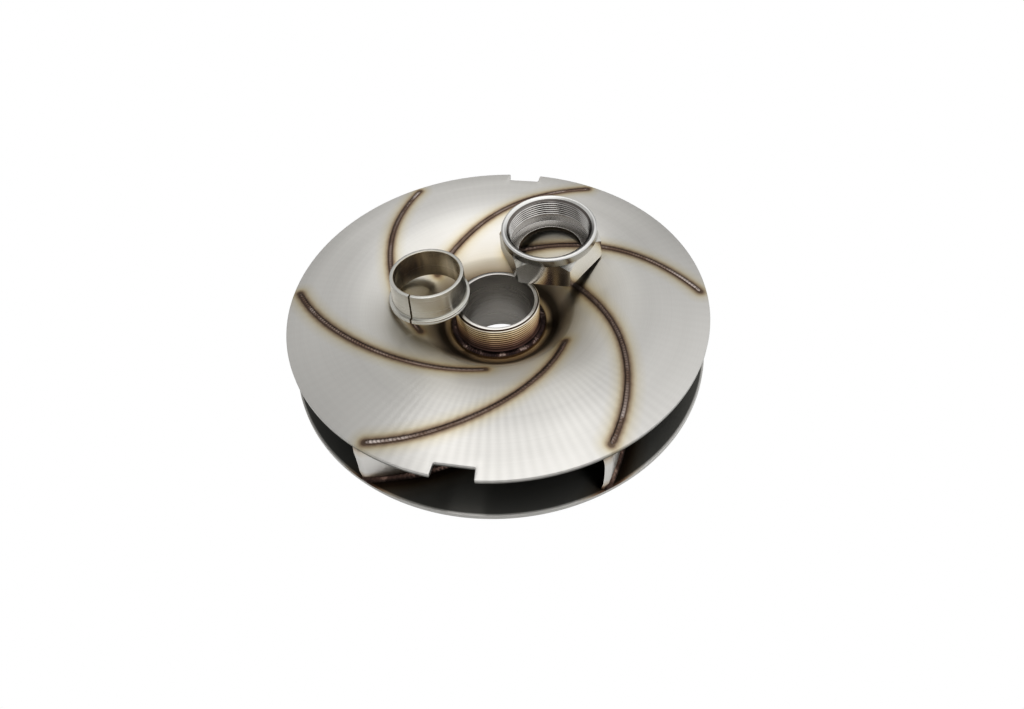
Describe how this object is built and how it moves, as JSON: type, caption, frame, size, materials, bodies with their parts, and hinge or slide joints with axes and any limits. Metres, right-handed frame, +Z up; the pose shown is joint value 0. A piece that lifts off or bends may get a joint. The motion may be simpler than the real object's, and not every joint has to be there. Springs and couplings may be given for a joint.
{
  "type": "closed pump impeller",
  "caption": "Closed impeller of welded stainless sheet: two shrouds, backward-curved vanes and a threaded hub sleeve, with its split cone and clamp nut lying loose on the back shroud.",
  "frame": {"origin": "centre of the suction neck's resting ring, on the impeller's axis", "axes": "+Z up along the impeller's axis, from the suction neck towards the hub's threaded end; the back shroud's two rim notches lie on -Y and +Y"},
  "size_m": [0.217, 0.217, 0.0675],
  "materials": {
    "back_shroud": "satin brushed stainless sheet, straw heat tint beside its weld seams",
    "front_shroud": "turned and brushed stainless sheet, brown heat tint at the vane feet",
    "vane_sheet": "mill-finish stainless sheet, tinted along its welded edges",
    "seam_weld": "rippled oxide-brown weld seam",
    "foot_weld": "rippled brown fillet weld",
    "hub_sleeve": "turned stainless, fine thread with straw to purple heat tint",
    "hub_weld": "rippled dark fillet weld with a golden edge",
    "split_cone": "fine-turned satin stainless",
    "clamp_nut": "bright turned stainless with milled flats"
  },
  "bodies": {
    "impeller": {"back_shroud": "back_shroud", "front_shroud": "front_shroud", "vane_1": "vane_sheet", "vane_2": "vane_sheet", "vane_3": "vane_sheet", "vane_4": "vane_sheet", "vane_5": "vane_sheet", "vane_6": "vane_sheet", "back_seam_1": "seam_weld", "back_seam_2": "seam_weld", "back_seam_3": "seam_weld", "back_seam_4": "seam_weld", "back_seam_5": "seam_weld", "back_seam_6": "seam_weld", "foot_weld_1": "foot_weld", "foot_weld_2": "foot_weld", "foot_weld_3": "foot_weld", "foot_weld_4": "foot_weld", "foot_weld_5": "foot_weld", "foot_weld_6": "foot_weld", "hub_sleeve": "hub_sleeve", "hub_weld": "hub_weld"},
    "split_cone": {"split_cone": "split_cone"},
    "clamp_nut": {"clamp_nut": "clamp_nut"}
  },
  "joints": [
    {"name": "split_cone_lift", "type": "slide", "parent": "impeller", "child": "split_cone", "axis": [0, 0, 1], "range_m": [0, 0.12]},
    {"name": "clamp_nut_lift", "type": "slide", "parent": "impeller", "child": "clamp_nut", "axis": [0, 0, 1], "range_m": [0, 0.12]}
  ]
}
